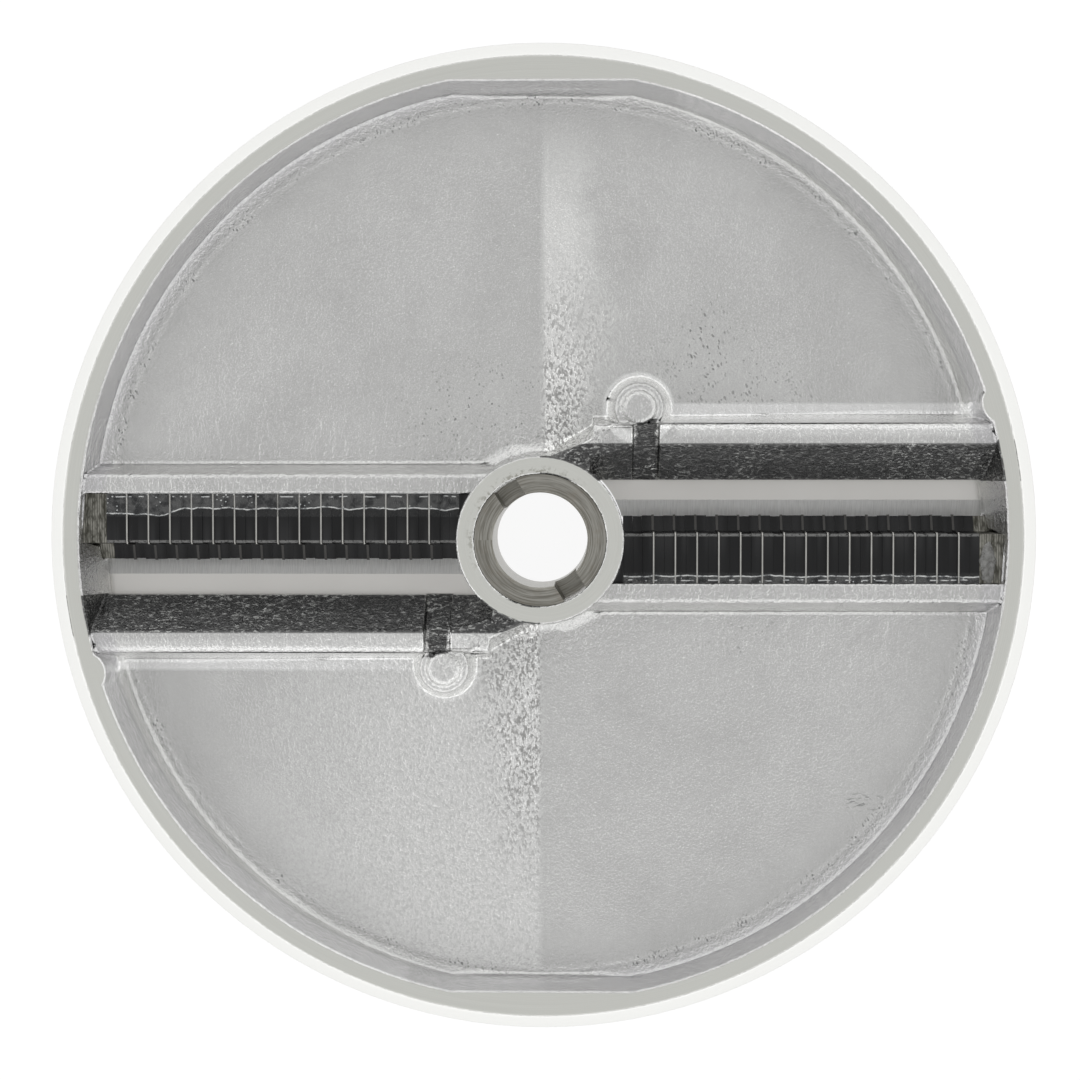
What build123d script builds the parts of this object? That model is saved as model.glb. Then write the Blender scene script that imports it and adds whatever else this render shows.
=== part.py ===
from build123d import *
import os
from math import cos, radians, sin, sqrt

# Julienne disc for a vegetable cutter, in millimetres.
# It lies on its working face at z = 0, with its underside up (+Z) and the bore on the Z axis.
# The disc is the same when it is turned half way round, so each side feature is made twice.

# Cast disc
outer_diameter = 205.0
rim_height = 15.0
bevel_width = 3.1
bevel_height = 3.0
ring_width = 3.3
rim_wall_draft = 3.4
web_thickness = 4.0
slice_depth = 4.0
ramp_start_angle = 15.0
ramp_sections = 6
rim_fillet_reach = 2.9
rim_fillet_rise = 2.2
web_pore_margin = 0.6
facet_reach = 0.65
facet_rise = 0.3
chord_depth = 1.9
chord_half_length = 21.0
buried = 1.5

# Hub and its pressed steel bush
hub_diameter = 34.0
hub_height = 26.5
hub_fillet = 3.3
bore_diameter = 19.2
bush_diameter = 26.6
bush_press_gap = 0.01
bush_setback = 0.2
bush_chamfer = 0.5
notch_width = 5.2
notch_floor = 9.0
notch_angle = 123.0

# Ribs along the two slots
rib_height = 14.0
slot_comb_side = 9.3
slot_start = 10.2
slot_start_top = 16.6
slot_taper_end = 18.8
comb_rib_top = 3.8
comb_rib_draft = 2.2
comb_rib_foot = 1.0
comb_rib_radius = 1.2
rib_foot_rise = 0.9
slot_wall_foot = 12.1
slot_wall_knee = 5.5
slot_wall_top = 19.4
blade_rib_top = 4.3
blade_rib_draft = 1.9
blade_rib_foot = 2.2
blade_rib_radius = 1.9

# Slicing blades
blade_thickness = 1.5
blade_edge = 4.3
blade_bevel = 3.6
blade_edge_land = 0.1
blade_back = 31.0
blade_inner_end = 12.2
blade_hub_gap = 0.4
blade_rim_margin = 3.0
blade_clearance = 0.15
seat_border = 1.5

# Countersunk screws and their bosses
screw_diameter = 4.0
screw_head_diameter = 6.8
screw_length = 7.0
screw_gap = 0.05
screw_hole_spare = 0.6
screw_socket = 2.5
screw_socket_depth = 1.1
screw_line = 27.1
inner_screw = 20.3
screw_tip_margin = 4.1
boss_foot_radius = 7.9
boss_foot_rise = 1.0
boss_wall_radius = 6.9
boss_top_radius = 5.0
boss_top = 12.6
stub_foot_radius = 5.2
stub_foot = 9.5
stub_radius = 3.4
stub_edge = 0.6
rim_boss_radius = 4.7
rim_boss_reach = 1.5
rim_boss_draft = 0.8
relief_back = 1.3
relief_width = 5.4
relief_reach = 5.5
relief_knee = 2.6
gusset_angle = 18.0
gusset_at_hub = 15.0
gusset_boss_reach = 5.6
gusset_boss_drop = 4.0

# Comb of thin upright blades and spacers
comb_count = 15
comb_rim_margin = 7.0
comb_blade_thickness = 0.5
comb_tail_spacers = 3
comb_head_spacers = 2
spacer_gap = 0.03
spacer_inset = 0.25
spacer_wander = 0.1
shim_count = 10
shim_thickness = 0.495
comb_face = 13.2
comb_front = 1.2
comb_front_lean = 0.4
comb_front_corner = 0.5
comb_toe_top = 6.2
comb_toe_lip = 0.9
comb_nose = 4.8
comb_tooth_front = 3.8
comb_tooth_tip = 0.2
comb_tooth_width = 2.8
comb_tooth_rake = 6.5
comb_side_gap = 0.1
comb_end_gap = 0.05
resin_width_1 = 2.2
resin_width_2 = 4.8
resin_height = 0.7
resin_edge = 0.12

# Values worked out from the sizes above
outer_radius = outer_diameter / 2
bevel_radius = outer_radius - bevel_width
ring_radius = bevel_radius - ring_width
rim_foot_radius = ring_radius - rim_wall_draft
hub_radius = hub_diameter / 2
bush_radius = bush_diameter / 2
bush_seat_radius = bush_radius + bush_press_gap
bush_top = hub_height - bush_setback
flat_web_top = slice_depth + web_thickness
comb_foot = slice_depth
seat_back = blade_back + seat_border
comb_back = comb_side_gap - slot_comb_side
stack_start = hub_radius + comb_end_gap
stack_end = outer_radius - comb_rim_margin
shim_start = stack_end - shim_count * shim_thickness
spacer_count = 2 * (comb_count - 1) + comb_tail_spacers + comb_head_spacers
spacer_thickness = (shim_start - stack_start - comb_count * comb_blade_thickness) / spacer_count
comb_pitch = 2 * spacer_thickness + comb_blade_thickness
comb_first = stack_start + comb_tail_spacers * spacer_thickness
comb_last_end = comb_first + (comb_count - 1) * comb_pitch + comb_blade_thickness
blade_tip_radius = outer_radius - blade_rim_margin
outer_screw_radius = blade_tip_radius - screw_tip_margin
outer_screw = sqrt(outer_screw_radius ** 2 - screw_line ** 2)
above_rib = rib_height + buried
sides = ((1, 0.0), (2, 180.0))
resin_widths = (resin_width_1, resin_width_2)

os.makedirs("parts", exist_ok=True)


def save(builder, name):
    """Label a finished piece and write its own file."""
    builder.part.label = name
    export_step(builder.part, f"parts/{name}.step")


def level(height, turn=0.0):
    """Horizontal plane at a height, turned about the disc's axis."""
    c = cos(radians(turn))
    s = sin(radians(turn))
    return Plane(origin=(0, 0, height), x_dir=(c, s, 0), z_dir=(0, 0, 1))


def across(distance, turn=0.0):
    """Upright plane that cuts across a slot, with its own x across the slot and y up."""
    c = cos(radians(turn))
    s = sin(radians(turn))
    return Plane(origin=(distance * c, distance * s, 0), x_dir=(-s, c, 0), z_dir=(c, s, 0))


def radial(angle, height=0.0, center=(0.0, 0.0)):
    """Upright plane through an axis, with its own x outwards and y up."""
    c = cos(radians(angle))
    s = sin(radians(angle))
    return Plane(origin=(center[0], center[1], height), x_dir=(c, s, 0), z_dir=(s, -c, 0))


def turned(x, y, turn):
    """A point of the disc, turned about the disc's axis."""
    c = cos(radians(turn))
    s = sin(radians(turn))
    return (x * c - y * s, x * s + y * c)


def panel_section():
    """Web from hub to rim, with a two-facet fillet up to each."""
    floor_start = hub_radius + hub_fillet
    floor_end = rim_foot_radius - web_pore_margin
    hub_fillet_top = web_thickness + hub_fillet
    rim_fillet_top = web_thickness + rim_fillet_rise
    inner = hub_radius - buried
    outer = ring_radius + buried
    with BuildLine() as outline:
        Polyline((inner, 0), (outer, 0), (outer, rim_fillet_top), (floor_end + rim_fillet_reach, rim_fillet_top),
                 (floor_end + facet_reach * rim_fillet_reach, web_thickness + facet_rise * rim_fillet_rise),
                 (floor_end, web_thickness), (floor_start, web_thickness),
                 (floor_start - facet_reach * hub_fillet, web_thickness + facet_rise * hub_fillet),
                 (hub_radius, hub_fillet_top), (inner, hub_fillet_top), close=True)
    make_face(outline.edges())


def comb_rib_section():
    """Rib behind the comb: upright to the slot, drafted and filleted to the web."""
    top_edge = -slot_comb_side - comb_rib_top
    wall_foot = top_edge - comb_rib_draft
    foot = wall_foot - comb_rib_foot
    with BuildLine() as outline:
        Polyline((foot, flat_web_top), (foot, slice_depth), (0, slice_depth), (0, rib_height),
                 (top_edge, rib_height), (wall_foot, flat_web_top + rib_foot_rise))
        TangentArc((foot, flat_web_top), (wall_foot, flat_web_top + rib_foot_rise), tangent=(1, 0))
    make_face(outline.edges())
    fillet(vertices().group_by(Axis.Y)[-1].sort_by(Axis.X)[0], comb_rib_radius)


def blade_rib_section():
    """Block that carries the slicing blade: seat below, rib above, drafted to the web."""
    top_edge = slot_wall_top + blade_rib_top
    wall_foot = top_edge + blade_rib_draft
    foot = wall_foot + blade_rib_foot
    with BuildLine() as outline:
        Polyline((foot, web_thickness), (seat_back, web_thickness), (seat_back, 0), (0, 0), (0, rib_height),
                 (top_edge, rib_height), (wall_foot, web_thickness + rib_foot_rise))
        TangentArc((foot, web_thickness), (wall_foot, web_thickness + rib_foot_rise), tangent=(-1, 0))
    make_face(outline.edges())
    fillet(vertices().group_by(Axis.Y)[-1].sort_by(Axis.X)[-1], blade_rib_radius)


def slot_section(wall_top):
    """Slot from the comb's side to the upright and then sloping wall over the blade."""
    slope = (wall_top - slot_wall_foot) / (rib_height - slot_wall_knee)
    with BuildLine() as outline:
        Polyline((-slot_comb_side, -buried), (slot_wall_foot, -buried), (slot_wall_foot, slot_wall_knee),
                 (wall_top + buried * slope, above_rib), (-slot_comb_side, above_rib), close=True)
    make_face(outline.edges())


def relief_section():
    """Hollow between the inner boss and the slot, with a floor that slopes down to the slot."""
    back = slot_wall_top + relief_reach
    with BuildLine() as outline:
        Polyline((slot_wall_foot, relief_knee), (back, rib_height), (back, above_rib), (slot_wall_foot, above_rib),
                 close=True)
    make_face(outline.edges())


def boss_section():
    """Half section of the inner screw boss: a drafted collar with a small fillet at its foot."""
    wall_foot = web_thickness + boss_foot_rise
    with BuildLine() as outline:
        Polyline((0, web_thickness / 2), (boss_foot_radius, web_thickness / 2), (boss_foot_radius, web_thickness),
                 (boss_wall_radius, wall_foot), (boss_top_radius, boss_top), (0, boss_top), close=True)
    make_face(outline.edges())


def stub_section():
    """Half section of the stub in the middle of the boss, with a chamfer on its edge."""
    with BuildLine() as outline:
        Polyline((0, stub_foot), (stub_foot_radius, stub_foot), (stub_radius, rib_height - stub_edge),
                 (stub_radius - stub_edge, rib_height), (0, rib_height), close=True)
    make_face(outline.edges())


def rim_section():
    """Rim: bevelled outside, flat machined ring on top, drafted wall inside."""
    with BuildLine() as outline:
        Polyline((rim_foot_radius, 0), (outer_radius, 0), (outer_radius, rim_height - bevel_height),
                 (bevel_radius, rim_height), (ring_radius, rim_height), (rim_foot_radius, slice_depth),
                 close=True)
    make_face(outline.edges())


def outside_section():
    """Everything outside the rim's bevel, to trim what is added to the rim."""
    far = outer_radius + bevel_width
    with BuildLine() as outline:
        Polyline((outer_radius, -buried), (outer_radius, rim_height - bevel_height), (bevel_radius, rim_height),
                 (bevel_radius, rim_height + buried), (far, rim_height + buried), (far, -buried), close=True)
    make_face(outline.edges())


def chord_section():
    """Straight stretch of the rim's wall, a little further in than the round wall."""
    top = ring_radius - chord_depth
    with BuildLine() as outline:
        Polyline((top, rim_height), (top - rim_wall_draft, slice_depth), (ring_radius, slice_depth),
                 (ring_radius, rim_height), close=True)
    make_face(outline.edges())


def comb_section(inset, tooth=False, corner=0.0):
    """Outline of a comb piece across the slot: flat face, upright front, toe, and a tooth on the blades."""
    face = comb_face - inset
    front = comb_front - inset
    nose = comb_nose - inset
    heel = comb_tooth_front - comb_tooth_width
    with BuildLine() as outline:
        Polyline((comb_back, comb_foot), (comb_back, face), (front, face), (front + comb_front_lean, comb_toe_top),
                 (nose, comb_foot + comb_toe_lip), (nose, comb_foot))
        if tooth:
            Polyline((nose, comb_foot), (comb_tooth_front, comb_foot), (comb_tooth_front, comb_tooth_tip),
                     (heel, comb_tooth_tip), (heel - comb_tooth_rake, comb_foot), (comb_back, comb_foot))
        else:
            Line((nose, comb_foot), (comb_back, comb_foot))
    make_face(outline.edges())
    if corner:
        chamfer(vertices().group_by(Axis.Y)[-1].sort_by(Axis.X)[-1], corner)


def blade_outline(clearance):
    """Slicing blade seen from above: a plate whose ends follow the rim and the hub."""
    with BuildSketch(mode=Mode.PRIVATE) as reach:
        Circle(blade_tip_radius + clearance)
        Circle(hub_radius + blade_hub_gap - clearance, mode=Mode.SUBTRACT)
    depth = blade_back - blade_edge + 2 * clearance
    start = blade_inner_end - clearance
    with Locations((start, blade_edge - clearance)):
        Rectangle(outer_radius - start, depth, align=(Align.MIN, Align.MIN))
    add(reach.sketch, mode=Mode.INTERSECT)


def screw_points(turn):
    """The two screws that hold one blade."""
    return [turned(x, screw_line, turn) for x in (inner_screw, outer_screw)]


# Cast disc body
with BuildPart() as disc_body:
    # Web: flat behind the blade's edge, a ramp up to the quarter, then flat before the next comb
    for side, turn in sides:
        with BuildSketch(radial(turn)):
            panel_section()
        revolve(axis=Axis.Z, revolution_arc=ramp_start_angle)
        for index in range(ramp_sections):
            share = index / (ramp_sections - 1)
            angle = ramp_start_angle + share * (90 - ramp_start_angle)
            with BuildSketch(radial(turn + angle, share * slice_depth)):
                panel_section()
        loft()
        with BuildSketch(radial(turn + 90, slice_depth)):
            panel_section()
        revolve(axis=Axis.Z, revolution_arc=90)
    # Ribs along the slots, and the raised corner with the inner screw boss and its collar
    for side, turn in sides:
        with BuildSketch(across(0, turn)):
            comb_rib_section()
        extrude(amount=ring_radius + buried / 2)
        rib_start = blade_inner_end - seat_border
        with BuildSketch(across(rib_start, turn)):
            blade_rib_section()
        extrude(amount=ring_radius - rib_start)
        boss_center = turned(inner_screw, screw_line, turn)
        boss_axis = Axis((*boss_center, 0), (0, 0, 1))
        boss_side = (inner_screw - gusset_boss_reach, screw_line - gusset_boss_drop)
        with BuildSketch(level(rib_height, turn)):
            with BuildLine():
                Polyline((0, 0), (0, gusset_at_hub), boss_side, (inner_screw, boss_side[1]), (inner_screw, 0),
                         close=True)
            make_face()
        extrude(amount=web_thickness / 2 - rib_height, taper=-gusset_angle)
        with BuildSketch(radial(0, 0, boss_center)):
            boss_section()
        revolve(axis=boss_axis)
        # Slot, narrower towards the hub, the hollow beside the boss, and the stub that stands out of the hollow
        with BuildSketch(across(slot_taper_end, turn)):
            slot_section(slot_wall_top)
        extrude(amount=outer_radius - slot_taper_end, mode=Mode.SUBTRACT)
        with BuildSketch(across(slot_start, turn)):
            slot_section(slot_start_top)
        with BuildSketch(across(slot_taper_end, turn)):
            slot_section(slot_wall_top)
        loft(ruled=True, mode=Mode.SUBTRACT)
        with BuildSketch(across(inner_screw - relief_back, turn)):
            relief_section()
        extrude(amount=relief_width, mode=Mode.SUBTRACT)
        with BuildSketch(radial(0, 0, boss_center)):
            stub_section()
        revolve(axis=boss_axis)
    # Rim and hub, the rim's two straight stretches and its bosses for the outer screws
    with BuildSketch(radial(0)):
        rim_section()
    revolve(axis=Axis.Z)
    with BuildSketch(level(0)):
        Circle(hub_radius)
    extrude(amount=hub_height)
    for side, turn in sides:
        with BuildSketch(radial(turn + 90)):
            chord_section()
        extrude(amount=chord_half_length, both=True)
        rim_boss_place = ring_radius - rim_boss_reach + rim_boss_radius
        away = rim_boss_place / outer_screw_radius
        rim_boss_height = rim_height - web_thickness
        center = turned(outer_screw * away, screw_line * away, turn)
        with Locations((*center, web_thickness + rim_boss_height / 2)):
            Cone(rim_boss_radius + rim_boss_draft, rim_boss_radius, rim_boss_height)
    with BuildSketch(radial(0)):
        outside_section()
    revolve(axis=Axis.Z, mode=Mode.SUBTRACT)
    # Seats for the combs, the blades, the screws and the bush
    for side, turn in sides:
        with BuildSketch(across(stack_start - comb_end_gap, turn)):
            comb_section(-comb_end_gap)
        extrude(amount=stack_end - stack_start + 2 * comb_end_gap, mode=Mode.SUBTRACT)
        with BuildSketch(level(0, turn)):
            blade_outline(blade_clearance)
        extrude(amount=blade_thickness, mode=Mode.SUBTRACT)
        hole_depth = screw_length + screw_hole_spare
        with Locations(*[(x, y, hole_depth / 2) for x, y in screw_points(turn)]):
            Cylinder(screw_diameter / 2 + screw_gap, hole_depth, mode=Mode.SUBTRACT)
    with BuildSketch(level(0)):
        Circle(bush_seat_radius)
    extrude(amount=hub_height, mode=Mode.SUBTRACT)
save(disc_body, "disc_body")

# Steel bush with two notches for the drive pin
with BuildPart() as hub_bush:
    with BuildSketch(level(0)):
        Circle(bush_radius)
        Circle(bore_diameter / 2, mode=Mode.SUBTRACT)
    extrude(amount=bush_top)
    chamfer(hub_bush.edges().group_by(Axis.Z)[-1].sort_by(SortBy.RADIUS)[0], bush_chamfer)
    with BuildSketch(level(notch_floor, notch_angle)):
        Rectangle(2 * bush_diameter, notch_width)
    extrude(amount=bush_top - notch_floor, mode=Mode.SUBTRACT)
save(hub_bush, "hub_bush")

# Slicing blades, ground on the underside
for side, turn in sides:
    with BuildPart() as main_blade:
        with BuildSketch(level(0, turn)):
            blade_outline(0)
        extrude(amount=blade_thickness)
        with BuildSketch(across(0, turn)):
            with BuildLine():
                Polyline((blade_edge, blade_edge_land), (blade_edge + blade_bevel, blade_thickness),
                         (blade_edge, blade_thickness), close=True)
            make_face()
        extrude(amount=outer_radius, mode=Mode.SUBTRACT)
        with Locations(*[(x, y, blade_thickness / 2) for x, y in screw_points(turn)]):
            Cone(screw_head_diameter / 2 + screw_gap, screw_diameter / 2 + screw_gap, blade_thickness,
                 mode=Mode.SUBTRACT)
    save(main_blade, f"main_blade_{side}")

# Countersunk socket screws, two for each blade
with BuildPart() as blade_screws:
    points = [point for side, turn in sides for point in screw_points(turn)]
    shank = screw_length - blade_thickness
    with Locations(*[(x, y, blade_thickness / 2) for x, y in points]):
        Cone(screw_head_diameter / 2, screw_diameter / 2, blade_thickness)
    with Locations(*[(x, y, blade_thickness + shank / 2) for x, y in points]):
        Cylinder(screw_diameter / 2, shank)
    with BuildSketch(level(0)):
        with Locations(*points):
            RegularPolygon(screw_socket / 2, 6, major_radius=False)
    extrude(amount=screw_socket_depth, mode=Mode.SUBTRACT)
save(blade_screws, "blade_screws")

# Combs: upright blades with two spacers between each pair, more spacers at the ends, then shims
for side, turn in sides:
    for index in range(comb_count):
        with BuildPart() as comb_blade:
            with BuildSketch(across(comb_first + index * comb_pitch, turn)):
                comb_section(0, tooth=True, corner=comb_front_corner)
            extrude(amount=comb_blade_thickness)
        save(comb_blade, f"comb_{side}_blade_{index + 1:02d}")

    tail = [stack_start + index * spacer_thickness for index in range(comb_tail_spacers)]
    between = [comb_first + comb_blade_thickness + index * comb_pitch + half * spacer_thickness
               for index in range(comb_count - 1) for half in (0, 1)]
    head = [comb_last_end + index * spacer_thickness for index in range(comb_head_spacers)]
    with BuildPart() as comb_spacers:
        for index, start in enumerate(tail + between + head):
            with BuildSketch(across(start + spacer_gap / 2, turn)):
                comb_section(spacer_inset + spacer_wander * sin(index * index), corner=comb_front_corner)
            extrude(amount=spacer_thickness - spacer_gap)
    save(comb_spacers, f"comb_{side}_spacers")

    with BuildPart() as comb_shims:
        for index in range(shim_count):
            with BuildSketch(across(shim_start + index * shim_thickness + spacer_gap / 2, turn)):
                comb_section(spacer_inset)
            extrude(amount=shim_thickness - spacer_gap)
    save(comb_shims, f"comb_{side}_shims")

    # Cured resin along the rib, with a hollow face
    with BuildPart() as comb_resin:
        with BuildSketch(across(stack_start, turn)):
            wall = -slot_comb_side
            toe = wall + resin_widths[side - 1]
            with BuildLine():
                Polyline((wall, comb_face + resin_height), (wall, comb_face), (toe, comb_face),
                         (toe, comb_face + resin_edge))
                TangentArc((toe, comb_face + resin_edge), (wall, comb_face + resin_height), tangent=(-1, 0))
            make_face()
        extrude(amount=shim_start - stack_start)
    save(comb_resin, f"comb_{side}_resin")
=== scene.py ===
import math
import bpy
from mathutils import Matrix, Vector


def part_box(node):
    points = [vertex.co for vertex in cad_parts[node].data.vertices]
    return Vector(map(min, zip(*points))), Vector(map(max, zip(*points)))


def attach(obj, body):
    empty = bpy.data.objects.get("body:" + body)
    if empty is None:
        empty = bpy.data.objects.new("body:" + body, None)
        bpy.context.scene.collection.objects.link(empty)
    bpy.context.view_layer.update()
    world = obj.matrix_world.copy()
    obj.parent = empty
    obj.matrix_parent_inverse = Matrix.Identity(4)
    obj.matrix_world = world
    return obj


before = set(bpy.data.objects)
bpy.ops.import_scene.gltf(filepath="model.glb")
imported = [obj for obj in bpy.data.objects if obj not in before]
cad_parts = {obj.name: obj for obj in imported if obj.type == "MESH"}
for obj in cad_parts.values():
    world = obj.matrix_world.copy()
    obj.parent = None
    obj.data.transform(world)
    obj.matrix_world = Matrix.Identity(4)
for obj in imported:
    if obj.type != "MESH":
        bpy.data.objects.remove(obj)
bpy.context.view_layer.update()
MM = 0.001

# The casting's size, from the frame: its radius in metres and its height in millimetres
_, body_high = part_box("disc_body")
OUTER_RADIUS = body_high[0]
HUB_TOP = body_high[2] / MM

# Heights and radii of the casting that its finish follows, in millimetres
RIM_TOP = 15.0
RIB_TOP = 14.0
BEVEL_RADIUS = 99.4
BEVEL_FOOT = 12.0
RING_RADIUS = 96.1
WALL_FOOT_RADIUS = 92.4
WEB_RADIUS = 91.5
HUB_RADIUS = 17.0
BUSH_RADIUS = 13.3
INNER_BOSS = (20.3, 27.1)
# Radii of the band round the inner bosses' feet that gets a painted highlight
BOSS_FOOT = (5.3, 7.6)
EDGE_ROUNDING = 0.5 * MM
EDGE_ANGLE = 25

# Slots, with the hollow beside the inner boss. Along is measured from the axis, across from the blade's edge
SLOT_SLOPE = 7.3 / 8.5
SLOT_EDGE = 12.1 - 5.5 * SLOT_SLOPE
SLOT_FOOT = 11.9
SLOT_MOUTH = 19.3
RELIEF_END = 24.8
RELIEF_SIDES = (18.9, 24.6)
# Bounds along the slot of the ragged patch of painted shade past the slot's mouth
RELIEF_PATCH = (19.6, 23.8)
# Bounds across the slot of the painted highlight on the ribs' flanks
RIB_FLANK = (23.9, 28.2)

# Blades, combs, spacers and shims
BLADE_BEVEL_END = 7.9
COMB_FIRST = 23.05
COMB_PITCH = 4.5
COMB_WALL = -9.3
COMB_FACE = 13.2
# Band within each comb blade's thickness that keeps its bright steel; the rest gets painted shade
COMB_EDGE = (0.12, 0.36)
SHIM_START = 90.55
SHIM_THICKNESS = 0.495

# Resin in the corner between the hub and the first spacer
POTTING_START = -9.25
POTTING_END = -1.2
POTTING_SIDE = 17.03
POTTING_FOOT = 4.3
POTTING_GRID = (14, 7)
POTTING_AT_HUB = 0.8
POTTING_AT_SPACER = 0.12
POTTING_WAVE = 0.08

# Drop of glue on the shims
GLUE_PLACE = (92.3, -5.0)
GLUE_REACH = (1.6, 4.3)
GLUE_RISE = 0.45
GLUE_FOOT = 12.9
GLUE_EDGE = 0.05
GLUE_GRID = (25, 13)

# Pad of metal over the outer screw's tip, beside the boss on the rim: radius and height from foot to crown
OUTER_SCREW = (91.47, 27.1)
PAD_PROFILE = ((3.5, 3.6), (3.25, 4.4), (2.7, 7.6), (2.5, 8.0), (2.1, 8.3), (1.2, 8.5))
PAD_SIDES = 40

# Camera: almost straight above, leaning a little to the upper right
PHOTO_SIZE = 1080
SILHOUETTE_RADIUS_PX = 492.95
SILHOUETTE_PX = (541.39, 538.19)
SILHOUETTE_HEIGHT = 12.0 * MM
CAMERA_DISTANCE = 450 * MM
CAMERA_LEAN = (math.radians(1.2), math.radians(1.65))
SENSOR = 36.0

# Light: a plain pale studio, as pairs of height and level, a little darker straight above, where the camera is
STUDIO = ((-1.0, 0.7), (0.0, 0.82), (0.25, 1.42), (0.45, 1.42), (0.62, 0.85), (0.85, 0.58), (1.0, 0.5))
STUDIO_TILT = -0.03
OVERHEAD = 0.1
OVERHEAD_MIDDLE = 0.02
FLOOR_SIZE = 3.0
FLOOR_DROP = 0.2 * MM
FLOOR_LEVEL = 0.92

# Patches of pores on the web: centre, reach, softness and strength
TICK_PATCHES = (((33, 39), (6, 11), 0.7, 1.0), ((41, 30), (15, 5), 0.8, 0.7))
SPECK_PATCHES = (((38, 33), (18, 10), 0.8, 0.6), ((42, -22), (9, 4), 0.8, 0.4))
CREASE_SPECKS = ((-12, 26), (15, 9), 0.8)
PORE_SLANT = math.radians(-22)
SCUFF = ((50, -20.2), (2.6, 2.8), 0.3)
SCUFF_ACROSS = (0.62, -0.78, -43.6)
SCRAPE = ((67.5, -55.5), (4.0, 1.8), 0.4)


def rgb(red, green, blue):
    return red, green, blue, 1


# Colours of the casting
CAST_DARK, CAST_LIGHT = rgb(0.635, 0.635, 0.625), rgb(0.70, 0.70, 0.69)
FINE_TONE = rgb(0.97, 0.97, 0.96)
# Painted highlight on the upper web past each crease
CREASE_SHEEN_TONE = rgb(0.97, 0.97, 0.955)
# Painted highlight on the frosted lower web past each crease
FROST_SHEEN_TONE = rgb(0.93, 0.93, 0.92)
# Painted highlight on the flanks of the ribs
FLANK_HIGHLIGHT_TONE = rgb(0.99, 0.99, 0.985)
# Painted highlight on the blades' ribs
BLADE_RIB_HIGHLIGHT_TONE = rgb(0.88, 0.88, 0.87)
# Painted highlight round the inner bosses' feet
BOSS_FOOT_HIGHLIGHT_TONE = rgb(0.98, 0.98, 0.97)
# Painted shade in the dimples of the hammered skin
HOLLOW_SHADE_TONE = rgb(0.36, 0.36, 0.35)
# Painted shade on the rim's inner wall
WALL_SHADE_TONE = rgb(0.60, 0.595, 0.61)
PORE_TONE = rgb(0.14, 0.145, 0.14)
# Painted shade and painted glints in the slots
SLOT_SHADE, SLOT_GLINT = rgb(0.10, 0.10, 0.10), rgb(0.95, 0.96, 0.93)
TURNED_DARK, TURNED_LIGHT = rgb(0.74, 0.745, 0.70), rgb(0.86, 0.865, 0.82)
# Painted highlight on the rim's bevel
BEVEL_HIGHLIGHT_TONE = rgb(0.89, 0.89, 0.88)
# Painted shade on the rim's outer side
RIM_SIDE_SHADE_DARK, RIM_SIDE_SHADE_LIGHT = rgb(0.50, 0.50, 0.485), rgb(0.66, 0.66, 0.645)
DIRT_TONE = rgb(0.16, 0.15, 0.09)


def link(obj):
    bpy.context.scene.collection.objects.link(obj)
    return obj


def make_camera():
    """A camera that sees the disc's outline where the photograph has it."""
    scale = OUTER_RADIUS / SILHOUETTE_RADIUS_PX
    target = Vector((
        (PHOTO_SIZE / 2 - SILHOUETTE_PX[0]) * scale,
        (SILHOUETTE_PX[1] - PHOTO_SIZE / 2) * scale,
        SILHOUETTE_HEIGHT,
    ))
    back = Vector((math.tan(CAMERA_LEAN[0]), math.tan(CAMERA_LEAN[1]), 1)).normalized()
    right = Vector((0, 1, 0)).cross(back).normalized()
    up = back.cross(right)
    data = bpy.data.cameras.new("camera")
    data.sensor_fit = "HORIZONTAL"
    data.sensor_width = SENSOR
    data.lens = SENSOR * CAMERA_DISTANCE / (PHOTO_SIZE * scale)
    data.clip_start = 0.01
    camera = link(bpy.data.objects.new("camera", data))
    place = target + CAMERA_DISTANCE * back
    camera.matrix_world = Matrix.Translation(place) @ Matrix((right, up, back)).transposed().to_4x4()
    bpy.context.scene.camera = camera


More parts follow.
